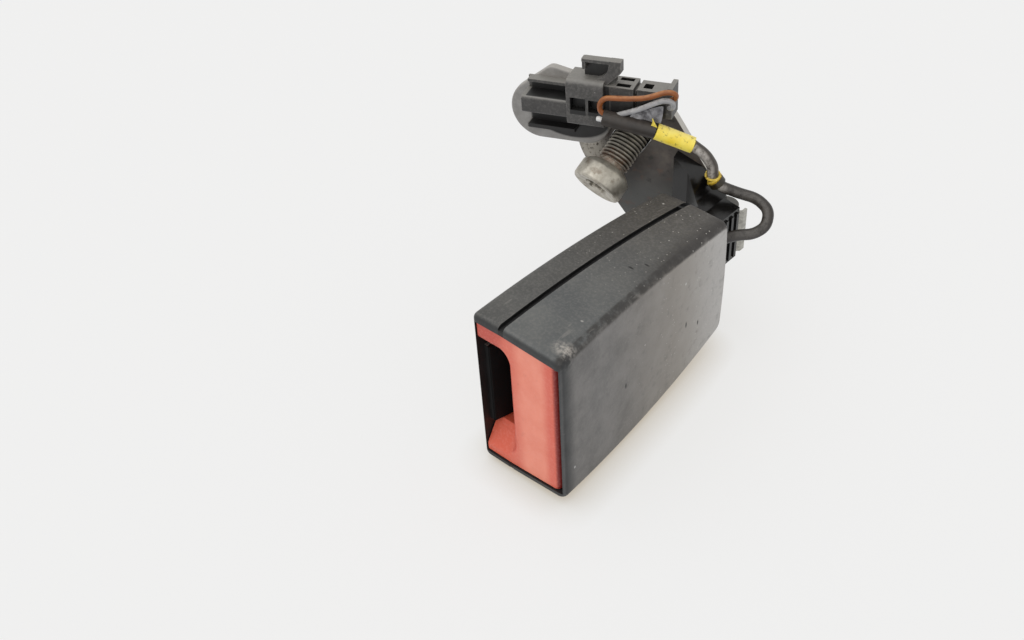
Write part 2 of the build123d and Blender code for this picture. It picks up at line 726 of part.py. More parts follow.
nodes["terminal_lock"] = set_down * lock
blades = []
for y in (-5.5, -4.0):
    blades.append(set_down * box(-23.6, -12.6, y - 0.35, y + 0.35, deck + 2.6, deck + 4.4))
nodes["connector_terminals"] = Compound(blades)

# Single wires, in the connector's own plane: out of the sleeve, round, and in at the far end
brown = [
    (3.96, -1.7, 14.3),
    (1.16, -1.1, 14.76),
    (2.4, 2.6, 14.9),
    (7.6, 4.6, 14.5),
    (16.1, 5.4, 13.0),
    (22.6, 7.2, 12.2),
    (24.9, 5.0, 11.7),
    (23.4, 2.0, lock_c),
]
grey = [
    (3.83, -3.6, 12.7),
    (1.03, -3.0, 13.16),
    (1.6, 0.4, 12.7),
    (6.0, 1.5, 12.8),
    (10.2, -0.3, 13.0),
    (14.4, 0.2, 13.1),
    (19.4, 2.8, 12.5),
    (22.3, 2.5, 11.9),
    (21.3, -0.2, lock_c),
]
sleeve = nodes["cable_sleeve"]
nodes["brown_wire"] = set_down * tube(brown, wire_r) - sleeve - nodes["terminal_lock"]
nodes["grey_wire"] = set_down * tube(grey, wire_r) - sleeve - nodes["terminal_lock"]

# Origin at the centre of the eye, on the face that is bolted down
origin = eye - facing * (strap_t / 2)
print("origin", origin, "along", along, "facing", facing, "bolt axis", bolt_axis)
for name, shape in nodes.items():
    export_step(Pos(-origin.X, -origin.Y, -origin.Z) * shape, f"parts/{name}.step")
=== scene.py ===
# Seat belt buckle with its anchor bracket, loose bolt, switch lead and connector, as it lies on a pale sheet
import math
import random

import bmesh
import bpy
from mathutils import Matrix, Vector


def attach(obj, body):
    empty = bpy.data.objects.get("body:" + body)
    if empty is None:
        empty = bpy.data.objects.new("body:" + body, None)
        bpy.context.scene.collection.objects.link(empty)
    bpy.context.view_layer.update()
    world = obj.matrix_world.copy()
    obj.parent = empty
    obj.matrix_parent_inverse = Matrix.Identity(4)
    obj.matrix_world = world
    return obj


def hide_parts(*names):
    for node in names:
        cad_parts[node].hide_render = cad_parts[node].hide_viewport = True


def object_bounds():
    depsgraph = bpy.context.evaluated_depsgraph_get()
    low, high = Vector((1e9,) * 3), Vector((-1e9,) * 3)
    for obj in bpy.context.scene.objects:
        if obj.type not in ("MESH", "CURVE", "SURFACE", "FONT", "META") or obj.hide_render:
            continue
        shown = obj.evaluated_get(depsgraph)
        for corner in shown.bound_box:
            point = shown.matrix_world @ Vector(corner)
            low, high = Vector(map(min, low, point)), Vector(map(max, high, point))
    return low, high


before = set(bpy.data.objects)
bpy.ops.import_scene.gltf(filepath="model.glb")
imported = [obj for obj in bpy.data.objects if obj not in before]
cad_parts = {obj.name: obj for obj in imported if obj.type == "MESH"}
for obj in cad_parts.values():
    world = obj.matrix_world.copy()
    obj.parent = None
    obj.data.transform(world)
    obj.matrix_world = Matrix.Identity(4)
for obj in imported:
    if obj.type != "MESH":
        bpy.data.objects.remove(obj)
cad_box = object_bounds()
scene = bpy.context.scene
scene.view_settings.view_transform = "Standard"

MM = 0.001
TO_METRES = Matrix.Scale(MM, 4)
# Points nearer than this, in millimetres, are one
SAME_POINT = 0.001
# The housing's directions: right is away from the tongue's side, and rear is towards the bracket
RIGHT = Vector((1.0, 0.0, 0.0))
REAR = Vector((0.0, 1.0, 0.0))
UP = Vector((0.0, 0.0, 1.0))

# The eye's centre, in millimetres from the housing's front corner: the frame's zero
EYE = Vector((-22.5455, 98.9996, 27.9))
PLATE_LEAN = math.radians(20.0)
ALONG_PLATE = Vector((math.cos(PLATE_LEAN), math.sin(PLATE_LEAN), 0.0))
OFF_PLATE = Vector((math.sin(PLATE_LEAN), -math.cos(PLATE_LEAN), 0.0))
PLATE_THICK = 3.0

# Anchor bolt: a 7/16 in thread of 20 turns to the inch, hanging in the eye
BOLT_DROOP = math.radians(34.0)
BOLT_YAW = math.radians(-4.5)
BOLT_AXIS = Vector((-math.sin(BOLT_YAW) * math.cos(BOLT_DROOP), math.cos(BOLT_YAW) * math.cos(BOLT_DROOP),
                    math.sin(BOLT_DROOP)))
BOLT_MIDDLE = OFF_PLATE * (PLATE_THICK / 2)
THREAD_PITCH = 1.27
THREAD_CREST = 5.55
THREAD_ROOT = 4.78

# Connector's own plane: along the plate, up it, and out from it
CONNECTOR_TILT = math.radians(1.0)
CONNECTOR_AT = -8.33 * ALONG_PLATE + PLATE_THICK * OFF_PLATE + 17.9 * UP
CONNECTOR_ALONG = ALONG_PLATE * math.cos(CONNECTOR_TILT) + UP * math.sin(CONNECTOR_TILT)
CONNECTOR_UP = UP * math.cos(CONNECTOR_TILT) - ALONG_PLATE * math.sin(CONNECTOR_TILT)


def at_housing(x, y, z):
    """A point in millimetres from the housing's front corner, in millimetres in the object's frame."""
    return Vector((x, y, z)) - EYE


def at_connector(along, up, out):
    """A point in millimetres in the connector's plane, in millimetres in the object's frame."""
    return CONNECTOR_AT + CONNECTOR_ALONG * along + CONNECTOR_UP * up + OFF_PLATE * out


# Finishes
PLASTIC_IOR = 1.53
POLYPROPYLENE_IOR = 1.49
FILM_IOR = 1.5
# A reach that never ends, in millimetres, for a mark that runs right across a piece
ENDLESS = 1e5


def linear(code):
    """An sRGB hex colour as linear RGBA."""
    parts = [int(code[i : i + 2], 16) / 255 for i in (1, 3, 5)]
    return tuple(c / 12.92 if c <= 0.04045 else ((c + 0.055) / 1.055) ** 2.4 for c in parts) + (1.0,)


def add(tree, kind, sockets=None, **settings):
    """Adds one node with its settings; a socket given as a value is linked, anything else is set."""
    node = tree.nodes.new(kind)
    for name, value in settings.items():
        setattr(node, name, value)
    for name, value in (sockets or {}).items():
        if isinstance(value, bpy.types.NodeSocket):
            tree.links.new(value, node.inputs[name])
        else:
            node.inputs[name].default_value = value
    return node


def begin(name):
    """A material with nothing in it, its node tree, and where a point lies on the piece in millimetres."""
    material = bpy.data.materials.new(name)
    material.use_nodes = True
    tree = material.node_tree
    tree.nodes.clear()
    spot = add(tree, "ShaderNodeTexCoord").outputs["Object"]
    to_millimetres = {"Vector": spot, "Scale": (1 / MM, 1 / MM, 1 / MM)}
    where = add(tree, "ShaderNodeMapping", to_millimetres).outputs["Vector"]
    return material, tree, where


def show(tree, sockets):
    """Ends a material with its shader."""
    shader = add(tree, "ShaderNodeBsdfPrincipled", sockets)
    add(tree, "ShaderNodeOutputMaterial", {"Surface": shader.outputs["BSDF"]})


def patches(tree, where, size, start, end, shift=(0.0, 0.0, 0.0), stretch=(1.0, 1.0, 1.0)):
    """Cloudy patches about size millimetres across: 0 between them, 1 inside."""
    moved = add(tree, "ShaderNodeMapping", {"Vector": where, "Location": shift, "Scale": stretch})
    clumps = {"Vector": moved.outputs["Vector"], "Scale": 1.0 / size, "Detail": 4.0, "Roughness": 0.6}
    cloud = add(tree, "ShaderNodeTexNoise", clumps)
    spread = {"Value": cloud.outputs["Fac"], "From Min": start, "From Max": end}
    return add(tree, "ShaderNodeMapRange", spread, interpolation_type="SMOOTHSTEP").outputs["Result"]


def specks(tree, where, spacing, radius, share):
    """Round specks of a radius in millimetres, one to each cell of the spacing, of which a share is kept."""
    cells = add(tree, "ShaderNodeTexVoronoi", {"Vector": where, "Scale": 1.0 / spacing})
    rim = radius / spacing
    fade = {"Value": cells.outputs["Distance"], "From Min": rim, "From Max": 0.6 * rim}
    round_spot = add(tree, "ShaderNodeMapRange", fade).outputs["Result"]
    dice = add(tree, "ShaderNodeSeparateColor", {"Color": cells.outputs["Color"]}).outputs["Red"]
    kept = add(tree, "ShaderNodeMath", {0: dice, 1: share}, operation="LESS_THAN").outputs["Value"]
    return add(tree, "ShaderNodeMath", {0: round_spot, 1: kept}, operation="MULTIPLY").outputs["Value"]


def rubbed_edges(tree, radius):
    """1 along edges and corners, where hands and neighbours rub, fading within radius millimetres."""
    soft = add(tree, "ShaderNodeBevel", {"Radius": radius * MM}, samples=6).outputs["Normal"]
    true = add(tree, "ShaderNodeNewGeometry").outputs["Normal"]
    same = add(tree, "ShaderNodeVectorMath", {0: soft, 1: true}, operation="DOT_PRODUCT").outputs["Value"]
    spread = {"Value": same, "From Min": 0.985, "From Max": 0.8}
    return add(tree, "ShaderNodeMapRange", spread).outputs["Result"]


def near(tree, where, centre, reach, soft):
    """1 at a centre, 0 from its reach along each axis, in millimetres; a small soft is a crisp rim."""
    moved = add(tree, "ShaderNodeVectorMath", {0: where, 1: centre}, operation="SUBTRACT").outputs["Vector"]
    shares = add(tree, "ShaderNodeVectorMath", {0: moved, 1: reach}, operation="DIVIDE").outputs["Vector"]
    gap = add(tree, "ShaderNodeVectorMath", {0: shares}, operation="LENGTH").outputs["Value"]
    fade = {"Value": gap, "From Min": 1.0, "From Max": 1.0 - soft}
    return add(tree, "ShaderNodeMapRange", fade).outputs["Result"]


def along(tree, where, direction, start, end):
    """Grows from 0 to 1 along a direction, between two distances in millimetres from the frame's zero."""
    run = add(tree, "ShaderNodeVectorMath", {0: where, 1: direction}, operation="DOT_PRODUCT")
    spread = {"Value": run.outputs["Value"], "From Min": start, "From Max": end}
    return add(tree, "ShaderNodeMapRange", spread, interpolation_type="SMOOTHSTEP").outputs["Result"]


def facing(tree, direction, start, end):
    """1 where the surface looks in a direction, by how far it leans that way from start to end."""
    normal = add(tree, "ShaderNodeNewGeometry").outputs["Normal"]
    return along(tree, normal, direction, start, end)


def inner_walls(tree, where, middle):
    """1 on the housing's walls that look inwards, to the line through its middle."""
    outward = add(tree, "ShaderNodeVectorMath", {0: where, 1: middle}, operation="SUBTRACT").outputs["Vector"]
    level = {0: outward, 1: RIGHT + UP}
    across = add(tree, "ShaderNodeVectorMath", level, operation="MULTIPLY").outputs["Vector"]
    normal = add(tree, "ShaderNodeNewGeometry").outputs["Normal"]
    lean = add(tree, "ShaderNodeVectorMath", {0: across, 1: normal}, operation="DOT_PRODUCT")
    spread = {"Value": lean.outputs["Value"], "From Min": -0.3, "From Max": -1.5}
    return add(tree, "ShaderNodeMapRange", spread).outputs["Result"]


# How far in from the crest the thread stays clean, in millimetres
CLEAN_CREST = 0.1


def thread_roots(tree, where):
    """1 in the bottom of the bolt's thread, 0 on its crests."""
    arm = add(tree, "ShaderNodeVectorMath", {0: where, 1: BOLT_MIDDLE}, operation="SUBTRACT")
    lever = {0: arm.outputs["Vector"], 1: BOLT_AXIS}
    swung = add(tree, "ShaderNodeVectorMath", lever, operation="CROSS_PRODUCT").outputs["Vector"]
    radius = add(tree, "ShaderNodeVectorMath", {0: swung}, operation="LENGTH").outputs["Value"]
    spread = {"Value": radius, "From Min": THREAD_CREST - CLEAN_CREST, "From Max": THREAD_ROOT}
    return add(tree, "ShaderNodeMapRange", spread).outputs["Result"]


# How far a hollow's shade fades to each side of its edge, in millimetres
HOLLOW_FADE = 0.15


def in_hollow(tree, where, left, right, low, high, inner, outer):
    """1 within a box of the connector's plane, in millimetres along it, up it and out from it."""
    inside = 1.0
    sides = ((CONNECTOR_ALONG, left, right), (CONNECTOR_UP, low, high), (OFF_PLATE, inner, outer))
    for way, first, last in sides:
        base = CONNECTOR_AT.dot(way)
        for direction, edge in ((way, base + first), (-way, -base - last)):
            step = along(tree, where, direction, edge - HOLLOW_FADE, edge + HOLLOW_FADE)
            inside = add(tree, "ShaderNodeMath", {0: step, 1: inside}, operation="MULTIPLY").outputs["Value"]
    return inside


def lay(tree, under, over, share, *masks):
    """Lays a colour over another where all the masks are, as thick as the share."""
    thick = share
    for mask in masks:
        thinned = add(tree, "ShaderNodeMath", {0: mask, 1: thick}, operation="MULTIPLY", use_clamp=True)
        thick = thinned.outputs["Value"]
    return add(tree, "ShaderNodeMix", {0: thick, 6: under, 7: over}, data_type="RGBA").outputs[2]


def grain(tree, where, size, depth, strength):
    """The small hills and hollows of a surface, size millimetres apart and depth high."""
    hills = add(tree, "ShaderNodeTexNoise", {"Vector": where, "Scale": 1.0 / size, "Detail": 2.0})
    bumps = {"Height": hills.outputs["Fac"], "Strength": strength, "Distance": depth * MM}
    return add(tree, "ShaderNodeBump", bumps).outputs["Normal"]


def dull_and_shiny(tree, where, size, smoothest, roughest):
    """A roughness that wanders between two values over patches of a size in millimetres."""
    clumps = {"Vector": where, "Scale": 1.0 / size, "Detail": 3.0}
    cloud = add(tree, "ShaderNodeTexNoise", clumps).outputs["Fac"]
    spread = {"Value": cloud, "From Min": 0.3, "From Max": 0.7, "To Min": smoothest, "To Max": roughest}
    return add(tree, "ShaderNodeMapRange", spread).outputs["Result"]


# Marks on the housing: the corner that has been knocked, the dirt under it, and small pale chips
KNOCKED_CORNER = at_housing(28.2, 5.2, 25.8)
DIRT_UNDER_CORNER = at_housing(30.4, 2.6, 24.6)
CHIPS = (
    at_housing(24.6, 16.5, 26.4),
    at_housing(26.7, 61.4, 12.7),
    at_housing(30.8, 5.0, -16.1),
)
# Dark nicks, each with its reach up and down the housing
NICKS = (
    (at_housing(19.9, 43.6, 26.4), 3.0),
    (at_housing(22.3, 47.8, 26.4), 3.0),
    (at_housing(28.95, 30.3, -4.4), 1.3),
    (at_housing(26.5, 62.9, -4.1), 1.5),
    (at_housing(26.0, 70.0, -8.0), 1.2),
)
# The groove where the two shells part, and the line through the housing's middle
PARTING = at_housing(10.2, 40.0, 0.0)
PARTING_HALF_WIDTH = 0.95
HOUSING_MIDDLE = at_housing(15.0, 0.0, 0.0)
# Across the top to its right edge, which draws in towards the rear
TO_TAPERED_EDGE = Vector((1.0, 0.074, 0.0))


# Black polypropylene, moulded against an eroded tool. Years of hands and dust have greyed it: slate and even
# on top, browner to the rear, and paler on the right side, where light from the right is painted. Along the
# edge between the two it is dark, partly with grease and partly with painted shade.
# The eroded grain is about 0.1 mm and is drawn at 0.4 mm to show.
def housing_polypropylene():
    material, tree, where = begin("moulded_polypropylene")
    colour = lay(tree, linear("#505252"), linear("#5f605e"), 1.0, patches(tree, where, 17.0, 0.32, 0.68))
    to_rear = along(tree, where, REAR, -88.0, -18.0)
    colour = lay(tree, colour, linear("#46423e"), 0.85, to_rear)
    colour = lay(tree, colour, linear("#6c6862"), 0.35, patches(tree, where, 5.0, 0.5, 0.72), to_rear)
    thin_cover = along(tree, where, -RIGHT, -33.0, -31.5)
    colour = lay(tree, colour, linear("#3c3833"), 0.52, thin_cover)
    # Right side painted paler, as lit from the right, and paler still towards the rear
    right_side = facing(tree, RIGHT, 0.6, 0.97)
    clouds = patches(tree, where, 10.0, 0.3, 0.7, (7.0, 3.0, 1.0))
    lit_right_side = lay(tree, linear("#625f5b"), linear("#76726d"), 1.0, clouds)
    lit_right_side = lay(tree, lit_right_side, linear("#968e83"), 0.85, along(tree, where, REAR, -84.0, -34.0))
    lit_right_side = lay(tree, lit_right_side, linear("#b9b4ad"), 0.9, along(tree, where, REAR, -44.0, -14.0))
    lit_right_side = lay(tree, lit_right_side, linear("#55524e"), 0.35, patches(tree, where, 3.2, 0.52, 0.75, (2.0, 9.0, 4.0)))
    colour = lay(tree, colour, lit_right_side, 1.0, right_side)
    fine = patches(tree, where, 0.8, 0.42, 0.66)
    colour = lay(tree, colour, linear("#8d8983"), 0.16, fine)
    # Dark band on the rounding between the top and the right side, wider towards the rear: partly grease,
    # partly painted shade
    rounding = facing(tree, RIGHT, 0.1, 0.4)
    upper = facing(tree, UP, 0.1, 0.45)
    broken = patches(tree, where, 3.0, 0.25, 0.6, (4.0, 1.0, 6.0))
    colour = lay(tree, colour, linear("#2c2926"), 0.85, rounding, upper, broken)
    by_edge = along(tree, where, TO_TAPERED_EDGE, 39.5, 44.5)
    rear_half = along(tree, where, REAR, -70.0, -35.0)
    colour = lay(tree, colour, linear("#2f2b28"), 0.75, by_edge, upper, rear_half)
    # Corner that has been knocked pale, with dirt under it, and edges rubbed pale
    corner = near(tree, where, KNOCKED_CORNER, (5.0, 3.4, 2.2), 0.8)
    knocks = patches(tree, where, 0.9, 0.3, 0.68, (3.0, 8.0, 2.0))
    colour = lay(tree, colour, linear("#b5aea5"), 0.95, corner, knocks)
    below = near(tree, where, DIRT_UNDER_CORNER, (3.6, 4.6, 3.0), 0.7)
    dirt = patches(tree, where, 1.5, 0.36, 0.55, (5.0, 2.0, 7.0))
    colour = lay(tree, colour, linear("#211e1c"), 0.9, below, dirt)
    worn = patches(tree, where, 2.4, 0.35, 0.65, (1.0, 6.0, 3.0))
    colour = lay(tree, colour, linear("#8f8a84"), 0.3, rubbed_edges(tree, 0.8), worn)
    # Painted shade: a dark band down the front edge of the right side, and dark on the rim of the mouth that
    # looks to the front
    front_edge = along(tree, where, -REAR, 92.4, 97.8)
    colour = lay(tree, colour, linear("#232526"), 0.85, right_side, front_edge)
    colour = lay(tree, colour, linear("#1c1d1d"), 0.8, facing(tree, -REAR, 0.5, 0.95))
    # Scuffs along the length, dust that settles most at the rear, chips and nicks
    scuffs = patches(tree, where, 1.2, 0.66, 0.74, stretch=(0.5, 0.1, 0.5))
    colour = lay(tree, colour, linear("#9a958e"), 0.22, scuffs)
    colour = lay(tree, colour, linear("#c9c4bb"), 0.65, specks(tree, where, 1.5, 0.25, 0.5), to_rear)
    colour = lay(tree, colour, linear("#d6d2ca"), 0.75, specks(tree, where, 4.6, 0.42, 0.2))
    for spot in CHIPS:
        chip = near(tree, where, spot, (0.7, 0.5, 0.6), 0.8)
        colour = lay(tree, colour, linear("#d2cec7"), 0.8, chip)
    for spot, reach_up in NICKS:
        nick = near(tree, where, spot, (1.2, 0.5, reach_up), 0.6)
        colour = lay(tree, colour, linear("#0d0c0c"), 0.95, nick)
    # Painted shade: dark in the groove between the shells, and near black on the inner walls and on the step
    # behind the mouth
    groove = near(tree, where, PARTING, (PARTING_HALF_WIDTH, ENDLESS, ENDLESS), 0.06)
    colour = lay(tree, colour, linear("#0c0c0c"), 1.0, groove)
    colour = lay(tree, colour, linear("#060606"), 1.0, inner_walls(tree, where, HOUSING_MIDDLE))
    in_mouth = along(tree, where, REAR, -97.8, -97.2)
    colour = lay(tree, colour, linear("#030303"), 1.0, in_mouth, facing(tree, -REAR, 0.85, 0.97))
    show(tree, {
        "Base Color": colour,
        "Roughness": dull_and_shiny(tree, where, 7.0, 0.5, 0.7),
        "IOR": POLYPROPYLENE_IOR,
        "Normal": grain(tree, where, 0.4, 0.15, 0.16),
    })
    return material


# The way the button's bevel along the slot looks
SLOT_BEVEL = Vector((-0.62, -0.78, 0.0))


# Red ABS, moulded to a satin. The face that looks to the front is painted salmon, as lit from the front, and
# the sides keep the deep red.
def button_abs():
    material, tree, where = begin("moulded_red_abs")
    colour = lay(tree, linear("#a83a2e"), linear("#b2463a"), 1.0, patches(tree, where, 7.0, 0.3, 0.7))
    clouds = patches(tree, where, 9.0, 0.3, 0.7, (3.0, 1.0, 5.0))
    lit_face_tone = lay(tree, linear("#e38167"), linear("#ea8d73"), 1.0, clouds)
    colour = lay(tree, colour, lit_face_tone, 1.0, facing(tree, -REAR, 0.5, 0.97))
    # Redder along the right edge, and painted shade dark on the right side, which runs deep beside the rim
    colour = lay(tree, colour, linear("#cf523c"), 0.75, along(tree, where, RIGHT, 45.4, 48.8))
    colour = lay(tree, colour, linear("#7a1512"), 0.92, facing(tree, RIGHT, 0.2, 0.75))
    # Redder on the bevel along the slot, beside it, and on the two arms above and below it; the upper arm's
    # deep red is painted shade
    colour = lay(tree, colour, linear("#d4573f"), 0.75, facing(tree, SLOT_BEVEL, 0.86, 0.97))
    colour = lay(tree, colour, linear("#cd5239"), 0.65, along(tree, where, -RIGHT, -39.5, -35.0))
    arms = along(tree, where, -RIGHT, -34.5, -29.0)
    colour = lay(tree, colour, linear("#b23a28"), 0.8, arms, along(tree, where, UP, -25.0, -18.0))
    colour = lay(tree, colour, linear("#d2563a"), 0.75, arms, along(tree, where, -UP, 30.0, 38.0))
    # Fine pale wear, a few stains, and painted shade on what lies deep in the housing
    colour = lay(tree, colour, linear("#e9a594"), 0.12, patches(tree, where, 0.7, 0.45, 0.66))
    colour = lay(tree, colour, linear("#6a2a20"), 0.16, patches(tree, where, 3.0, 0.6, 0.78))
    colour = lay(tree, colour, linear("#4a0c0a"), 0.85, along(tree, where, REAR, -93.0, -86.0))
    show(tree, {
        "Base Color": colour,
        "Roughness": dull_and_shiny(tree, where, 6.0, 0.44, 0.54),
        "IOR": PLASTIC_IOR,
        "Normal": grain(tree, where, 0.3, 0.1, 0.06),
    })
    return material


# The shade of a hollow, and how much of a deep one it covers
HOLLOW_SHADE = "#070606"
DEEP = 0.97
# Painted shade in the connector's hollows: left, right, low, high, inner and outer side, and how dark. They
# lie beside its bar, in and just below the collar's windows, under the lever, and in the neck and lock.
CONNECTOR_HOLLOWS = (
    (-24.0, -8.5, -2.2, 1.45, 0.0, 9.2, DEEP),
    (-24.6, -8.5, -14.8, -7.3, 0.0, 9.2, DEEP),
    (-8.1, -2.8, -4.9, 0.9, 0.0, 11.7, DEEP),
    (-2.0, 1.5, -4.7, 0.7, 0.0, 11.7, DEEP),
    (-6.0, 5.4, 6.9, 12.5, 5.0, 6.7, DEEP),
    (6.4, 11.1, 2.0, 5.45, 3.1, 9.3, DEEP),
    (14.6, 17.7, 2.0, 5.05, 4.5, 7.7, DEEP),
    (2.95, 4.6, -4.3, 5.5, 0.0, 11.0, DEEP),
    # Lesser shades: the front of the neck and lock, and the bar's face
    (5.0, 22.5, -4.3, 2.6, 9.0, 10.5, 0.7),
    (-25.6, -8.5, -7.6, -2.6, 9.5, 10.5, 0.3),
)
# Painted shadow that the connector casts on the holder: its middle, its reach, and how soft its rim is
HOLDER_SHADOW = (at_connector(-11.0, -11.6, 2.4), (12.9, ENDLESS, 7.5), 0.08)
# Up and a little to the front: what looks this way is painted paler, as lit from above
SKYWARD = Vector((0.0, -0.2, 0.98))


# Moulded plastic that has seen less handling: one tone, painted paler on what looks up as lit from above,
# with edges rubbed to grey, a little dust, and painted shade in hollows and where the connector's shadow
# falls.
def moulded(name, dark, pale, lit, rub, rubbed, smoothest, roughest, dust, specular=0.5, hollows=(),
            round_shadow=None):
    material, tree, where = begin(name)
    colour = lay(tree, linear(dark), linear(pale), 1.0, patches(tree, where, 6.0, 0.32, 0.68))
    # Painted light: paler on what looks up
    colour = lay(tree, colour, linear(lit), 0.7, facing(tree, SKYWARD, 0.55, 0.97))
    worn = patches(tree, where, 1.6, 0.3, 0.62)
    colour = lay(tree, colour, linear(rub), rubbed, rubbed_edges(tree, 0.5), worn)
    colour = lay(tree, colour, linear(rub), 0.12, patches(tree, where, 0.8, 0.45, 0.66))
    colour = lay(tree, colour, linear("#c9c4bb"), 0.6, specks(tree, where, 2.6, 0.26, dust))
    # Painted shade in the hollows
    for *sides, share in hollows:
        colour = lay(tree, colour, linear(HOLLOW_SHADE), share, in_hollow(tree, where, *sides))
    # Painted shadow of the connector on the holder's face
    if round_shadow:
        shade = near(tree, where, *round_shadow)
        colour = lay(tree, colour, linear(HOLLOW_SHADE), DEEP, shade, facing(tree, OFF_PLATE, 0.5, 0.9))
    show(tree, {
        "Base Color": colour,
        "Roughness": dull_and_shiny(tree, where, 4.0, smoothest, roughest),
        "IOR": PLASTIC_IOR,
        "Specular IOR Level": specular,
        "Normal": grain(tree, where, 0.4, 0.12, 0.1),
    })
    return material


# Where the bolt's head has rubbed the plate, and where the plate is rubbed beside the bend
HEAD_RUB = ALONG_PLATE * -13.0 + OFF_PLATE * PLATE_THICK - UP * 5.5
BEND_RUB = at_housing(-10.0, 100.3, 23.5)


# Phosphated and oiled steel plate: dark brown-grey with a dull sheen, greener and lighter low down,
# pale and pitted where the bolt's head has rubbed it, and pale and metallic on what looks right at the
# outside of the bend, as a painted highlight.
def bracket_steel():
    material, tree, where = begin("phosphated_steel")
    colour = lay(tree, linear("#362e2a"), linear("#57504a"), 1.0, patches(tree, where, 6.0, 0.32, 0.7))
    low_down = along(tree, where, -UP, 8.0, 22.0)
    colour = lay(tree, colour, linear("#5a5b57"), 0.75, low_down)
    rust = patches(tree, where, 3.2, 0.56, 0.76, (9.0, 4.0, 1.0))
    colour = lay(tree, colour, linear("#6a4734"), 0.55, rust)
    oil = patches(tree, where, 4.5, 0.58, 0.7, (2.0, 7.0, 5.0))
    colour = lay(tree, colour, linear("#15110f"), 0.8, oil)
    by_head = near(tree, where, HEAD_RUB, (7.5, 7.5, 8.5), 0.6)
    pits = patches(tree, where, 1.1, 0.3, 0.5, (6.0, 3.0, 2.0))
    colour = lay(tree, colour, linear("#aaa59c"), 0.9, by_head, pits)
    by_bend = near(tree, where, BEND_RUB, (6.0, 4.0, 6.5), 0.9)
    streaks = patches(tree, where, 2.4, 0.3, 0.6, (1.0, 3.0, 7.0))
    colour = lay(tree, colour, linear("#776b61"), 0.5, by_bend, streaks)
    # Painted highlight: pale metal on what looks right, on the outside of the bend
    bend = facing(tree, RIGHT, 0.3, 0.6)
    colour = lay(tree, colour, linear("#c4c1bb"), 0.95, bend)
    worn = patches(tree, where, 1.5, 0.3, 0.6)
    colour = lay(tree, colour, linear("#9b958d"), 0.7, rubbed_edges(tree, 0.5), worn)
    # Metal where the head has rubbed it, and in the painted highlight on the bend
    rubbed_and_highlit = add(tree, "ShaderNodeMath", {0: bend, 1: by_head}, operation="MAXIMUM").outputs["Value"]
    show(tree, {
        "Base Color": colour,
        "Metallic": rubbed_and_highlit,
        "Roughness": dull_and_shiny(tree, where, 3.0, 0.38, 0.6),
        "Normal": grain(tree, where, 0.7, 0.15, 0.2),
    })
    return material


# Zinc-plated steel, turned and rolled: dull beige-grey metal, grime in the roots of the thread,
# rust under the head and in freckles.
def bolt_steel():
    material, tree, where = begin("dull_zinc_plate")
    colour = lay(tree, linear("#a8a296"), linear("#c6c1b5"), 1.0, patches(tree, where, 2.6, 0.3, 0.7))
    on_thread = along(tree, where, BOLT_AXIS, -12.4, -11.2)
    colour = lay(tree, colour, linear("#221d18"), 0.92, on_thread, thread_roots(tree, where))
    under_head = near(tree, where, BOLT_MIDDLE - BOLT_AXIS * 11.6, (7.6, 7.6, 7.6), 0.5)
    colour = lay(tree, colour, linear("#7a5138"), 0.75, under_head, patches(tree, where, 1.5, 0.3, 0.62))
    grime = patches(tree, where, 3.0, 0.52, 0.72, (8.0, 2.0, 4.0))
    colour = lay(tree, colour, linear("#6b5a48"), 0.5, grime)
    colour = lay(tree, colour, linear("#8a5a3a"), 0.6, specks(tree, where, 2.2, 0.35, 0.25))
    show(tree, {
        "Base Color": colour,
        "Metallic": 0.75,
        "Roughness": dull_and_shiny(tree, where, 2.0, 0.4, 0.62),
        "Normal": grain(tree, where, 0.5, 0.1, 0.14),
    })
    return material


# Metal of the works inside and of the contacts: plated, ground or drawn, with fine lines and a few stains.
def works_metal(name, dark, light, smoothest, roughest):
    material, tree, where = begin(name)
    lines = patches(tree, where, 1.2, 0.3, 0.7, stretch=(1.0, 0.2, 1.0))
    colour = lay(tree, linear(dark), linear(light), 1.0, lines)
    colour = lay(tree, colour, linear("#6e5a44"), 0.2, patches(tree, where, 4.0, 0.55, 0.75))
    show(tree, {
        "Base Color": colour,
        "Metallic": 0.95,
        "Roughness": dull_and_shiny(tree, where, 2.0, smoothest, roughest),
        "Normal": grain(tree, where, 0.5, 0.08, 0.1),
    })
    return material


# The way that the side with dust looks on most of the lead, and on the cable, pale to the front with dust and
# a painted highlight; on the dark tie this side is painted light
LEAD_DUST_AND_LIGHT = Vector((-0.3, -0.25, 0.92))
CABLE_DUST_AND_LIGHT = Vector((0.1, -0.9, 0.42))
# The cable's end in painted shade, laid in the soil's colour: a direction, and where the shade starts and is
# full
CABLE_SHADE = (RIGHT, 32.5, 36.0)


# Extruded, wrapped or pressed pieces, most of them PVC: smooth and a little waxy, pale on one side with dust,
# with stains from handling. On the cable that pale side is also a painted highlight, and on the dark tie it
# is painted light.
def waxy(name, dark, pale, dust_and_light, soil, dust, soiled, rough, dust_and_light_way=LEAD_DUST_AND_LIGHT, shaded=None):
    material, tree, where = begin(name)
    colour = lay(tree, linear(dark), linear(pale), 1.0, patches(tree, where, 4.0, 0.3, 0.7))
    film = patches(tree, where, 1.6, 0.25, 0.6)
    # Pale side: dust, and on the cable and the dark tie painted light as well
    colour = lay(tree, colour, linear(dust_and_light), dust, facing(tree, dust_and_light_way, 0.35, 0.95), film)
    stains = patches(tree, where, 1.4, 0.56, 0.68, (5.0, 2.0, 8.0))
    colour = lay(tree, colour, linear(soil), soiled, stains)
    # Painted shade over the cable's end, laid in the soil's colour
    if shaded:
        colour = lay(tree, colour, linear(soil), 0.9, along(tree, where, *shaded))
    show(tree, {
        "Base Color": colour,
        "Roughness": rough,
        "IOR": PLASTIC_IOR,
        "Normal": grain(tree, where, 0.8, 0.1, 0.12),
    })
    return material


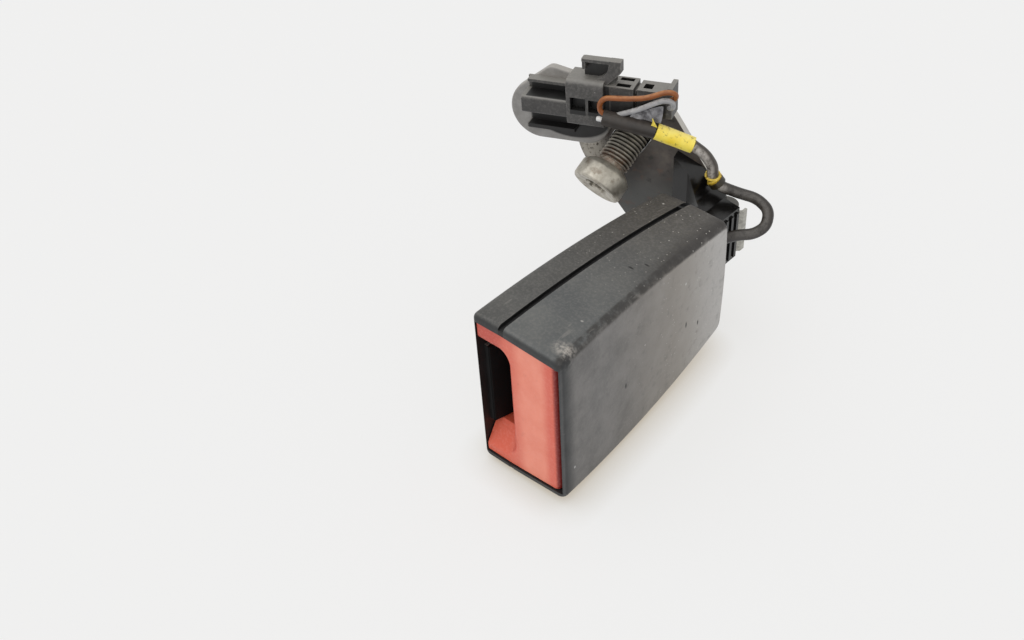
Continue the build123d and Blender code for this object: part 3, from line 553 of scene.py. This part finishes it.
# Clear polythene film, crumpled round the wires: its folds and dust read as a glossy grey with glints.
def wrapping_film():
    material, tree, where = begin("clear_film")
    colour = lay(tree, linear("#615f60"), linear("#848283"), 1.0, patches(tree, where, 2.4, 0.4, 0.6))
    show(tree, {
        "Base Color": colour,
        "Roughness": 0.12,
        "IOR": FILM_IOR,
        "Coat Weight": 0.6,
        "Coat Roughness": 0.05,
        "Normal": grain(tree, where, 1.6, 0.3, 0.3),
    })
    return material


HOUSING = housing_polypropylene()
BUTTON = button_abs()
# Painted shade: the works inside the slot are near black
GUIDE = moulded("moulded_acetal", "#040404", "#070707", "#070707", "#121212",
                rubbed=0.1, smoothest=0.6, roughest=0.75, dust=0.0, specular=0.15)
BOOT = moulded("moulded_black_nylon", "#050404", "#090808", "#0c0b0a", "#3c3834",
               rubbed=0.3, smoothest=0.2, roughest=0.26, dust=0.06, specular=0.4)
CONNECTOR = moulded("moulded_connector_nylon", "#3b3936", "#4b4845", "#8a8781", "#a09b94",
                    rubbed=0.4, smoothest=0.45, roughest=0.58, dust=0.05, hollows=CONNECTOR_HOLLOWS)
HOLDER = moulded("moulded_holder_nylon", "#827e79", "#95918b", "#aaa6a0", "#b2ada5",
                 rubbed=0.3, smoothest=0.55, roughest=0.68, dust=0.12, round_shadow=HOLDER_SHADOW)
BRACKET = bracket_steel()
BOLT = bolt_steel()
ZINC = works_metal("zinc_plated_sheet", "#93918a", "#b8b6ae", smoothest=0.3, roughest=0.46)
HARD = works_metal("ground_hard_steel", "#6a6865", "#8f8d89", smoothest=0.28, roughest=0.42)
SPRING = works_metal("drawn_spring_wire", "#76746f", "#9d9b96", smoothest=0.26, roughest=0.38)
TIN = works_metal("tinned_copper", "#a9a69c", "#c9c6bd", smoothest=0.25, roughest=0.38)
FIBRE = waxy("vulcanised_fibre", "#5a3a24", "#7a5234", "#8d7258", "#3a2a1e",
             dust=0.3, soiled=0.4, rough=0.7)
CABLE = waxy("extruded_cable_pvc", "#352d26", "#4a4138", "#d6cec3", "#1e1813",
             dust=0.95, soiled=0.4, rough=0.42, dust_and_light_way=CABLE_DUST_AND_LIGHT, shaded=CABLE_SHADE)
SLEEVE = waxy("shrunk_sleeve_pvc", "#231e1a", "#302923", "#534b44", "#171310",
              dust=0.5, soiled=0.4, rough=0.5)
TAPE = waxy("yellow_pvc_tape", "#f4d53c", "#fce766", "#fef3ac", "#4a3f14",
            dust=0.5, soiled=0.6, rough=0.42)
TIE = waxy("yellow_tie_nylon", "#c9a52a", "#dcbc42", "#ecd873", "#3c3010",
           dust=0.4, soiled=0.8, rough=0.4)
# The tie: dark all over as painted shade, with its own yellow only on what looks up as painted light, and
# stains
SHADED_TIE = waxy("shade_painted_tie_nylon", "#1f180e", "#33290f", "#d8b83c", "#120d07",
                 dust=0.9, soiled=0.6, rough=0.4)
BROWN = waxy("extruded_brown_pvc", "#7c4216", "#92501c", "#bb7f48", "#532e16",
             dust=0.55, soiled=0.3, rough=0.42)
GREY = waxy("extruded_grey_pvc", "#92908f", "#a7a5a3", "#cbc9c6", "#6a6867",
            dust=0.6, soiled=0.35, rough=0.42)
WHITE = waxy("extruded_white_pvc", "#cfcdc8", "#dddbd6", "#efeeea", "#a39d93",
             dust=0.5, soiled=0.4, rough=0.45)
RUBBER = waxy("moulded_grommet_rubber", "#1b1a19", "#262423", "#5c5751", "#121110",
              dust=0.4, soiled=0.4, rough=0.6)
FILM = wrapping_film()

# The bolt and the two single wires aren't here, because pieces made below stand in for them
FINISHES = {
    "cover_shell": HOUSING,
    "main_shell": HOUSING,
    "release_button": BUTTON,
    "tongue_guide": GUIDE,
    "frame_spacer": GUIDE,
    "ejector": GUIDE,
    "sensor_module": GUIDE,
    "latch_frame": ZINC,
    "keeper_plate": ZINC,
    "frame_rivets": ZINC,
    "latch_bridge": ZINC,
    "latch": HARD,
    "latch_pin": HARD,
    "button_springs": SPRING,
    "latch_spring": SPRING,
    "ejector_springs": SPRING,
    "ejector_magnet": TIN,
    "cable_grommet": RUBBER,
    "anchor_bracket": BRACKET,
    "retaining_washer": FIBRE,
    "strap_boot": BOOT,
    "switch_cable": CABLE,
    "marker_tape": TAPE,
    "cable_sleeve": SLEEVE,
    "cable_tie": SHADED_TIE,
    "connector_holder": HOLDER,
    "connector_body": CONNECTOR,
    "terminal_lock": CONNECTOR,
    "connector_terminals": TIN,
}
for name, finish in FINISHES.items():
    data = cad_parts[name].data
    data.materials.clear()
    data.materials.append(finish)


# Pieces that stand beside the solids or replace them, drawn in millimetres
def lie(middle, axis):
    """The turn and place that lay a shape's own upright along an axis, from millimetres to metres."""
    pose = axis.to_track_quat("Z", "X").to_matrix().to_4x4()
    pose.translation = middle
    return TO_METRES @ pose


def keep(name, shapes, pose, finish, body, crease=35.0):
    """Makes one piece of shapes drawn in millimetres, with edges sharper than the crease left sharp."""
    mesh = bpy.data.meshes.new(name)
    whole = bmesh.new()
    for shape in shapes:
        part = bpy.data.meshes.new(name + "_part")
        shape.to_mesh(part)
        shape.free()
        whole.from_mesh(part)
        bpy.data.meshes.remove(part)
    bmesh.ops.transform(whole, matrix=pose, verts=whole.verts)
    whole.to_mesh(mesh)
    whole.free()
    mesh.shade_smooth()
    mesh.set_sharp_from_angle(angle=math.radians(crease))
    mesh.materials.append(finish)
    piece = bpy.data.objects.new(name, mesh)
    scene.collection.objects.link(piece)
    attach(piece, body)
    return piece


def draw_line(shape, places):
    """Draws edges from place to place, and gives the vertices and the edges."""
    points = [shape.verts.new(place) for place in places]
    return points, [shape.edges.new(pair) for pair in zip(points, points[1:])]


def everything(shape):
    """All vertices, edges and faces of a shape."""
    return shape.verts[:] + shape.edges[:] + shape.faces[:]


def turn_round(shape, geometry, steps):
    """Turns a line or a loop once round the upright into a closed skin."""
    bmesh.ops.spin(shape, geom=geometry, axis=UP, angle=math.tau, steps=steps, use_merge=True)
    bmesh.ops.remove_doubles(shape, verts=shape.verts, dist=SAME_POINT)
    bmesh.ops.recalc_face_normals(shape, faces=shape.faces)


def thicken(shape, thickness):
    """Gives a flat sheet its thickness."""
    bmesh.ops.solidify(shape, geom=everything(shape), thickness=thickness)
    bmesh.ops.recalc_face_normals(shape, faces=shape.faces)


def turned(profile, steps=48):
    """A solid turned from a profile of (radius, height) that starts and ends on its axis."""
    shape = bmesh.new()
    points, line = draw_line(shape, [(radius, 0.0, height) for radius, height in profile])
    turn_round(shape, points + line, steps)
    return shape


THREAD_STEPS = 40
# One ridge of the thread as (radius, height), up to the start of the next
THREAD_RIDGE = (
    (THREAD_ROOT, 0.0),
    (THREAD_CREST, 0.42),
    (THREAD_CREST, 0.62),
    (THREAD_ROOT, 1.04),
    (THREAD_ROOT, THREAD_PITCH),
)


def threaded(start, end):
    """A stretch of right-hand thread, wound from one ridge and cut square at both ends."""
    turns = math.ceil((end - start) / THREAD_PITCH) + 2
    first = start - 1.5 * THREAD_PITCH
    shape = bmesh.new()
    points, line = draw_line(shape, [(radius, 0.0, first + height) for radius, height in THREAD_RIDGE])
    bmesh.ops.spin(shape, geom=points + line, axis=UP, dvec=UP * (THREAD_PITCH / THREAD_STEPS),
                   angle=math.tau * turns, steps=THREAD_STEPS * turns)
    bmesh.ops.remove_doubles(shape, verts=shape.verts, dist=SAME_POINT)
    for height, way in ((start, -UP), (end, UP)):
        bmesh.ops.bisect_plane(shape, geom=everything(shape), plane_co=UP * height, plane_no=way,
                               clear_outer=True)
        open_edges = [edge for edge in shape.edges if edge.is_boundary]
        rim = [edge for edge in open_edges if all(abs(v.co.z - height) < SAME_POINT for v in edge.verts)]
        bmesh.ops.contextual_create(shape, geom=rim)
    bmesh.ops.recalc_face_normals(shape, faces=shape.faces)
    return shape


# The bolt's stretches along its axis, from the eye's middle; neighbours lap into each other
NECK_END = -10.7
GROOVE_START = 10.3
GROOVE_END = 12.3
TIP_START = 15.7
LAP = 0.1
# The bolt's head as (radius, height): its socket, its dished face, its rim, and its underside and neck
BOLT_HEAD = (
    (0.0, -16.8),
    (3.6, -16.8),
    (3.7, -19.6),
    (4.2, -20.2),
    (7.7, -20.8),
    (8.35, -20.55),
    (8.7, -20.0),
    (8.75, -19.3),
    (8.75, -15.0),
    (8.5, -14.4),
    (6.7, -12.7),
    (6.0, -12.4),
    (5.0, -12.4),
    (4.85, -12.1),
    (4.85, NECK_END),
    (0.0, NECK_END),
)
# The socket's wall lies within this radius of the axis, and swells into lobes by a share of its own radius
SOCKET_REACH = 4.0
SOCKET_LOBES = 6.0
SOCKET_SWELL = 0.13
GROOVE = ((0.0, GROOVE_START), (5.0, GROOVE_START), (5.0, GROOVE_END), (0.0, GROOVE_END))
BOLT_TIP = ((0.0, TIP_START), (5.2, TIP_START), (5.0, 16.0), (4.35, 17.0), (0.0, 17.0))


def make_bolt():
    """The anchor bolt: a dished head with a lobed socket, a neck, the thread, and the washer's groove."""
    head = turned(BOLT_HEAD, steps=72)
    for vert in head.verts:
        if math.hypot(vert.co.x, vert.co.y) < SOCKET_REACH:
            lobe = 1.0 + SOCKET_SWELL * math.cos(SOCKET_LOBES * math.atan2(vert.co.y, vert.co.x))
            vert.co.x *= lobe
            vert.co.y *= lobe
    long_thread = threaded(NECK_END - LAP, GROOVE_START + LAP)
    end_thread = threaded(GROOVE_END - LAP, TIP_START + LAP)
    shapes = [head, long_thread, turned(GROOVE), end_thread, turned(BOLT_TIP)]
    pose = lie(BOLT_MIDDLE, BOLT_AXIS)
    bolt = keep("threaded_bolt", shapes, pose, BOLT, "bolt", crease=28.0)
    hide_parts("anchor_bolt")


# The sleeve's two ends, and the cut wire in its mouth as (radius, height)
SLEEVE_MOUTH = at_connector(3.7, -3.0, 14.2)
SLEEVE_FOOT = at_connector(20.1, -6.8, 11.5)
CUT_WIRE_AT = at_connector(3.7, -3.4, 14.9)
CUT_WIRE = ((0.0, -1.0), (0.8, -1.0), (0.8, 1.3), (0.66, 1.62), (0.35, 1.78), (0.0, 1.7))


def make_wire_stub():
    """The cut end of a third, white wire in the mouth of the sleeve."""
    way = (SLEEVE_MOUTH - SLEEVE_FOOT).normalized()
    stub = turned(CUT_WIRE, steps=20)
    keep("cut_wire_end", [stub], lie(CUT_WIRE_AT, way), WHITE, "housing")


# The tie's turns: a name, the middle, and the way that the turn looks
TIE_TURNS = (
    ("tie_turn_high", at_housing(7.9, 100.95, 23.2), Vector((0.16, -0.3, 0.94))),
    ("tie_turn_low", at_housing(8.35, 101.3, 21.9), Vector((-0.5, -0.3, 0.8))),
)
TIE_TURN_RADIUS = 2.15
TIE_CORD_RADIUS = 0.42


def make_tie_loops():
    """Two turns of the yellow tie above its lock, each lying a little askew on the cable."""
    upright = Matrix.Rotation(math.radians(90.0), 3, "X")
    for name, middle, way in TIE_TURNS:
        shape = bmesh.new()
        ring = bmesh.ops.create_circle(shape, radius=TIE_CORD_RADIUS, segments=10)
        bmesh.ops.rotate(shape, verts=ring["verts"], matrix=upright)
        bmesh.ops.translate(shape, verts=ring["verts"], vec=RIGHT * TIE_TURN_RADIUS)
        turn_round(shape, shape.verts[:] + shape.edges[:], steps=32)
        keep(name, [shape], lie(middle, way.normalized()), TIE, "housing")


# The tape's tail: corners along and up the connector's plane, each a step further out than the last
TAPE_TAIL = ((20.9, -4.9), (18.9, -4.4), (19.5, -3.0), (19.45, -1.6), (20.0, -2.7), (20.6, -3.6))
TAPE_TAIL_OUT = 12.6
TAPE_TAIL_STEP = 0.12
TAPE_THICK = 0.18


def make_tape_tail():
    """The ragged tail of the yellow tape, standing up at its left end."""
    shape = bmesh.new()
    corners = [(*corner, TAPE_TAIL_OUT + TAPE_TAIL_STEP * k) for k, corner in enumerate(TAPE_TAIL)]
    shape.faces.new([shape.verts.new(at_connector(*corner)) for corner in corners])
    bmesh.ops.triangulate(shape, faces=shape.faces[:])
    thicken(shape, TAPE_THICK)
    keep("tape_tail", [shape], TO_METRES, TAPE, "housing")


# The film's lower and upper edge, each from its left end to its right one
FILM_LOW = (at_connector(11.4, -3.2, 12.2), at_connector(21.9, -3.6, 11.8))
FILM_HIGH = (at_connector(13.3, -0.6, 12.2), at_connector(22.6, 2.4, 11.8))
FILM_FOLD = 0.45
FILM_CRUMPLE = 0.3
FILM_THICK = 0.1


def make_film():
    """A crumpled strip of clear film between the sleeve and the grey wire."""
    shape = bmesh.new()
    bmesh.ops.create_grid(shape, x_segments=14, y_segments=6, size=0.5)
    draw = random.Random(5)
    for vert in shape.verts:
        across = vert.co.x + 0.5
        rise = vert.co.y + 0.5
        fold = FILM_FOLD * math.sin(9.0 * across + 4.0 * rise)
        low = FILM_LOW[0].lerp(FILM_LOW[1], across)
        high = FILM_HIGH[0].lerp(FILM_HIGH[1], across)
        vert.co = low.lerp(high, rise) + OFF_PLATE * (fold + draw.uniform(-FILM_CRUMPLE, FILM_CRUMPLE))
    bmesh.ops.smooth_vert(shape, verts=shape.verts, factor=0.3,
                          use_axis_x=True, use_axis_y=True, use_axis_z=True)
    thicken(shape, FILM_THICK)
    keep("wrapping_film", [shape], TO_METRES, FILM, "housing", crease=60.0)


# Painted shade: a dark sheet fills the eye's oval hole; the radius of its ends, and how far each end lies
# from the middle
EYE_SHADE_RADIUS = 5.65
EYE_SHADE_END = 3.1
EYE_SHADE_THICK = 0.6


def make_eye_shade_sheet():
    """A dark sheet in the eye's slot round the bolt, which lets no light through: painted shade in the hole.
    """
    shape = bmesh.new()
    bmesh.ops.create_circle(shape, cap_ends=True, radius=EYE_SHADE_RADIUS, segments=48)
    for side in (1.0, -1.0):
        half = [vert for vert in shape.verts if vert.co.x * side > SAME_POINT]
        bmesh.ops.translate(shape, verts=half, vec=RIGHT * (side * EYE_SHADE_END))
    bmesh.ops.translate(shape, verts=shape.verts, vec=UP * (-EYE_SHADE_THICK / 2))
    thicken(shape, EYE_SHADE_THICK)
    lean = (BOLT_AXIS - OFF_PLATE * BOLT_AXIS.dot(OFF_PLATE)).normalized()
    pose = Matrix((lean, OFF_PLATE.cross(lean), OFF_PLATE)).transposed().to_4x4()
    pose.translation = BOLT_MIDDLE
    keep("eye_shade_sheet", [shape], TO_METRES @ pose, RUBBER, "housing")


# The strap's lip: its bends seen from above, its foot, its height and its thickness
LIP_BENDS = ((14.7, 104.3), (16.5, 104.5), (17.2, 105.2), (17.2, 106.9))
LIP_FOOT = -4.2
LIP_HEIGHT = 15.6
LIP_THICK = 0.8


def make_strap_lip():
    """The bright lip turned out of the strap's edge behind the boot."""
    shape = bmesh.new()
    line = draw_line(shape, [at_housing(x, y, LIP_FOOT) for x, y in LIP_BENDS])[1]
    wall = bmesh.ops.extrude_edge_only(shape, edges=line)["geom"]
    top = [part for part in wall if isinstance(part, bmesh.types.BMVert)]
    bmesh.ops.translate(shape, verts=top, vec=UP * LIP_HEIGHT)
    thicken(shape, LIP_THICK)
    keep("strap_lip", [shape], TO_METRES, ZINC, "housing")


WIRE_RADIUS = 0.85
# The wires' routes from the sleeve's mouth to the connector, in the connector's plane
BROWN_ROUTE = (
    (6.0, -2.3, 13.8),
    (3.2, -1.7, 14.3),
    (2.8, 1.6, 14.6),
    (4.6, 4.1, 14.8),
    (8.0, 4.5, 14.8),
    (12.7, 4.7, 14.3),
    (17.2, 5.2, 13.7),
    (20.2, 6.2, 13.1),
    (23.6, 7.6, 12.5),
    (26.4, 6.9, 11.7),
    (25.8, 4.2, 10.4),
    (23.6, 2.8, 8.6),
)
GREY_ROUTE = (
    (6.2, -3.4, 12.6),
    (8.2, -2.2, 12.8),
    (12.9, -0.3, 13.0),
    (16.4, 1.4, 12.9),
    (19.5, 3.1, 12.7),
    (22.6, 4.5, 12.4),
    (25.4, 4.2, 11.8),
    (25.2, 1.6, 11.0),
    (23.8, 0.6, 9.4),
    (23.4, 0.2, 8.6),
)


def make_wire(name, node, finish, route):
    """A single wire along a smooth line, with its route given in the connector's plane."""
    path = bpy.data.curves.new(name, "CURVE")
    path.dimensions = "3D"
    path.bevel_depth = WIRE_RADIUS * MM
    path.bevel_resolution = 4
    path.use_fill_caps = True
    spline = path.splines.new("NURBS")
    spline.points.add(len(route) - 1)
    for point, place in zip(spline.points, route):
        point.co = (*(at_connector(*place) * MM), 1.0)
    spline.order_u = 3
    spline.use_endpoint_u = True
    spline.resolution_u = 10
    drawn = bpy.data.objects.new(name + "_path", path)
    scene.collection.objects.link(drawn)
    mesh = bpy.data.meshes.new_from_object(drawn)
    bpy.data.objects.remove(drawn)
    mesh.shade_smooth()
    mesh.materials.clear()
    mesh.materials.append(finish)
    wire = bpy.data.objects.new(name, mesh)
    scene.collection.objects.link(wire)
    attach(wire, "housing")
    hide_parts(node)


make_bolt()
make_wire_stub()
make_tie_loops()
make_tape_tail()
make_film()
make_eye_shade_sheet()
make_strap_lip()
make_wire("brown_lead", "brown_wire", BROWN, BROWN_ROUTE)
make_wire("grey_lead", "grey_wire", GREY, GREY_ROUTE)

# The photograph's view, from the fit of the housing's corners
VIEW_TURN = math.radians(45.3)
VIEW_RISE = math.radians(39.8)
VIEW_ROLL = math.radians(-4.1)
VIEW_MIDDLE = at_housing(15.0, 0.0, 32.8)
VIEW_DISTANCE_METRES = 0.2841
FOCAL_PIXELS = 1100.0
PHOTO_WIDTH_PIXELS = 1024.0
SENSOR_WIDTH = 36.0


def put_camera():
    """A camera with the photograph's view."""
    level = math.cos(VIEW_RISE)
    back = Vector((math.sin(VIEW_TURN) * level, -math.cos(VIEW_TURN) * level, math.sin(VIEW_RISE)))
    right = Vector((math.cos(VIEW_TURN), math.sin(VIEW_TURN), 0.0))
    up = back.cross(right)
    tilted = right * math.cos(VIEW_ROLL) + up * math.sin(VIEW_ROLL)
    upright = up * math.cos(VIEW_ROLL) - right * math.sin(VIEW_ROLL)
    data = bpy.data.cameras.new("photo_camera")
    data.sensor_width = SENSOR_WIDTH
    data.lens = FOCAL_PIXELS / PHOTO_WIDTH_PIXELS * SENSOR_WIDTH
    data.clip_start = 0.01
    camera = bpy.data.objects.new("photo_camera", data)
    pose = Matrix((tilted, upright, back)).transposed().to_4x4()
    pose.translation = VIEW_MIDDLE * MM + back * VIEW_DISTANCE_METRES
    camera.matrix_world = pose
    scene.collection.objects.link(camera)
    scene.camera = camera


def seen_rays(tree, share):
    """The share, for what the camera sees straight, in gloss or through something clear; 0 for all else."""
    path = add(tree, "ShaderNodeLightPath").outputs
    seen = path["Is Camera Ray"]
    for ray in ("Is Glossy Ray", "Is Transmission Ray"):
        seen = add(tree, "ShaderNodeMath", {0: seen, 1: path[ray]}, operation="MAXIMUM").outputs["Value"]
    return add(tree, "ShaderNodeMath", {0: seen, 1: share}, operation="MULTIPLY").outputs["Value"]


# The floor's size to each side of the frame's zero and how near the object shades it, both in metres
FLOOR_REACH = 3.0
SHADE_REACH = 0.011
# How much of the floor's light is even; the rest takes the lamps' shadows
FLOOR_EVEN = 0.79


def put_floor():
    """A pale sheet under the housing's belly, even to the eye, which keeps a faint warm shadow."""
    mesh = bpy.data.meshes.new("pale_floor")
    shape = bmesh.new()
    bmesh.ops.create_grid(shape, x_segments=1, y_segments=1, size=FLOOR_REACH)
    bmesh.ops.translate(shape, verts=shape.verts, vec=UP * cad_box[0][2])
    shape.to_mesh(mesh)
    shape.free()
    floor = bpy.data.objects.new("pale_floor", mesh)
    scene.collection.objects.link(floor)
    material = bpy.data.materials.new("pale_paper")
    material.use_nodes = True
    tree = material.node_tree
    tree.nodes.clear()
    paper = add(tree, "ShaderNodeBsdfDiffuse", {"Color": linear("#e9f0fc")}).outputs["BSDF"]
    open_air = add(tree, "ShaderNodeAmbientOcclusion", {"Distance": SHADE_REACH}, samples=12).outputs["AO"]
    shade = lay(tree, linear("#b9a98c"), linear("#f2f0ec"), 1.0, open_air)
    even = add(tree, "ShaderNodeEmission", {"Color": shade, "Strength": 1.0}).outputs["Emission"]
    mixed = {0: seen_rays(tree, FLOOR_EVEN), 1: paper, 2: even}
    sheet = add(tree, "ShaderNodeMixShader", mixed).outputs["Shader"]
    add(tree, "ShaderNodeOutputMaterial", {"Surface": sheet})
    mesh.materials.append(material)


ROOM_LIGHT = 0.66
# The lamps: a name, the way that each shines, and its strength
LAMPS = (
    ("overhead_lamp", Vector((0.3, 0.25, -0.92)), 0.85),
    ("front_lamp", Vector((-0.45, 0.75, -0.48)), 0.6),
)
LAMP_BREADTH = math.radians(70.0)


def put_light():
    """Even light from all round, with a broad soft lamp above and another from the front."""
    world = bpy.data.worlds.new("pale_room")
    world.use_nodes = True
    tree = world.node_tree
    tree.nodes.clear()
    white = {"Color": linear("#ffffff"), "Strength": ROOM_LIGHT}
    lit = add(tree, "ShaderNodeBackground", white).outputs["Background"]
    backdrop = {"Color": linear("#eeeeed"), "Strength": 1.0}
    seen = add(tree, "ShaderNodeBackground", backdrop).outputs["Background"]
    mixed = {0: seen_rays(tree, 1.0), 1: lit, 2: seen}
    room = add(tree, "ShaderNodeMixShader", mixed).outputs["Shader"]
    add(tree, "ShaderNodeOutputWorld", {"Surface": room})
    scene.world = world
    for name, way, strength in LAMPS:
        data = bpy.data.lights.new(name, "SUN")
        data.energy = strength
        data.angle = LAMP_BREADTH
        lamp = bpy.data.objects.new(name, data)
        lamp.rotation_euler = way.to_track_quat("-Z", "Y").to_euler()
        scene.collection.objects.link(lamp)


put_camera()
put_floor()
put_light()
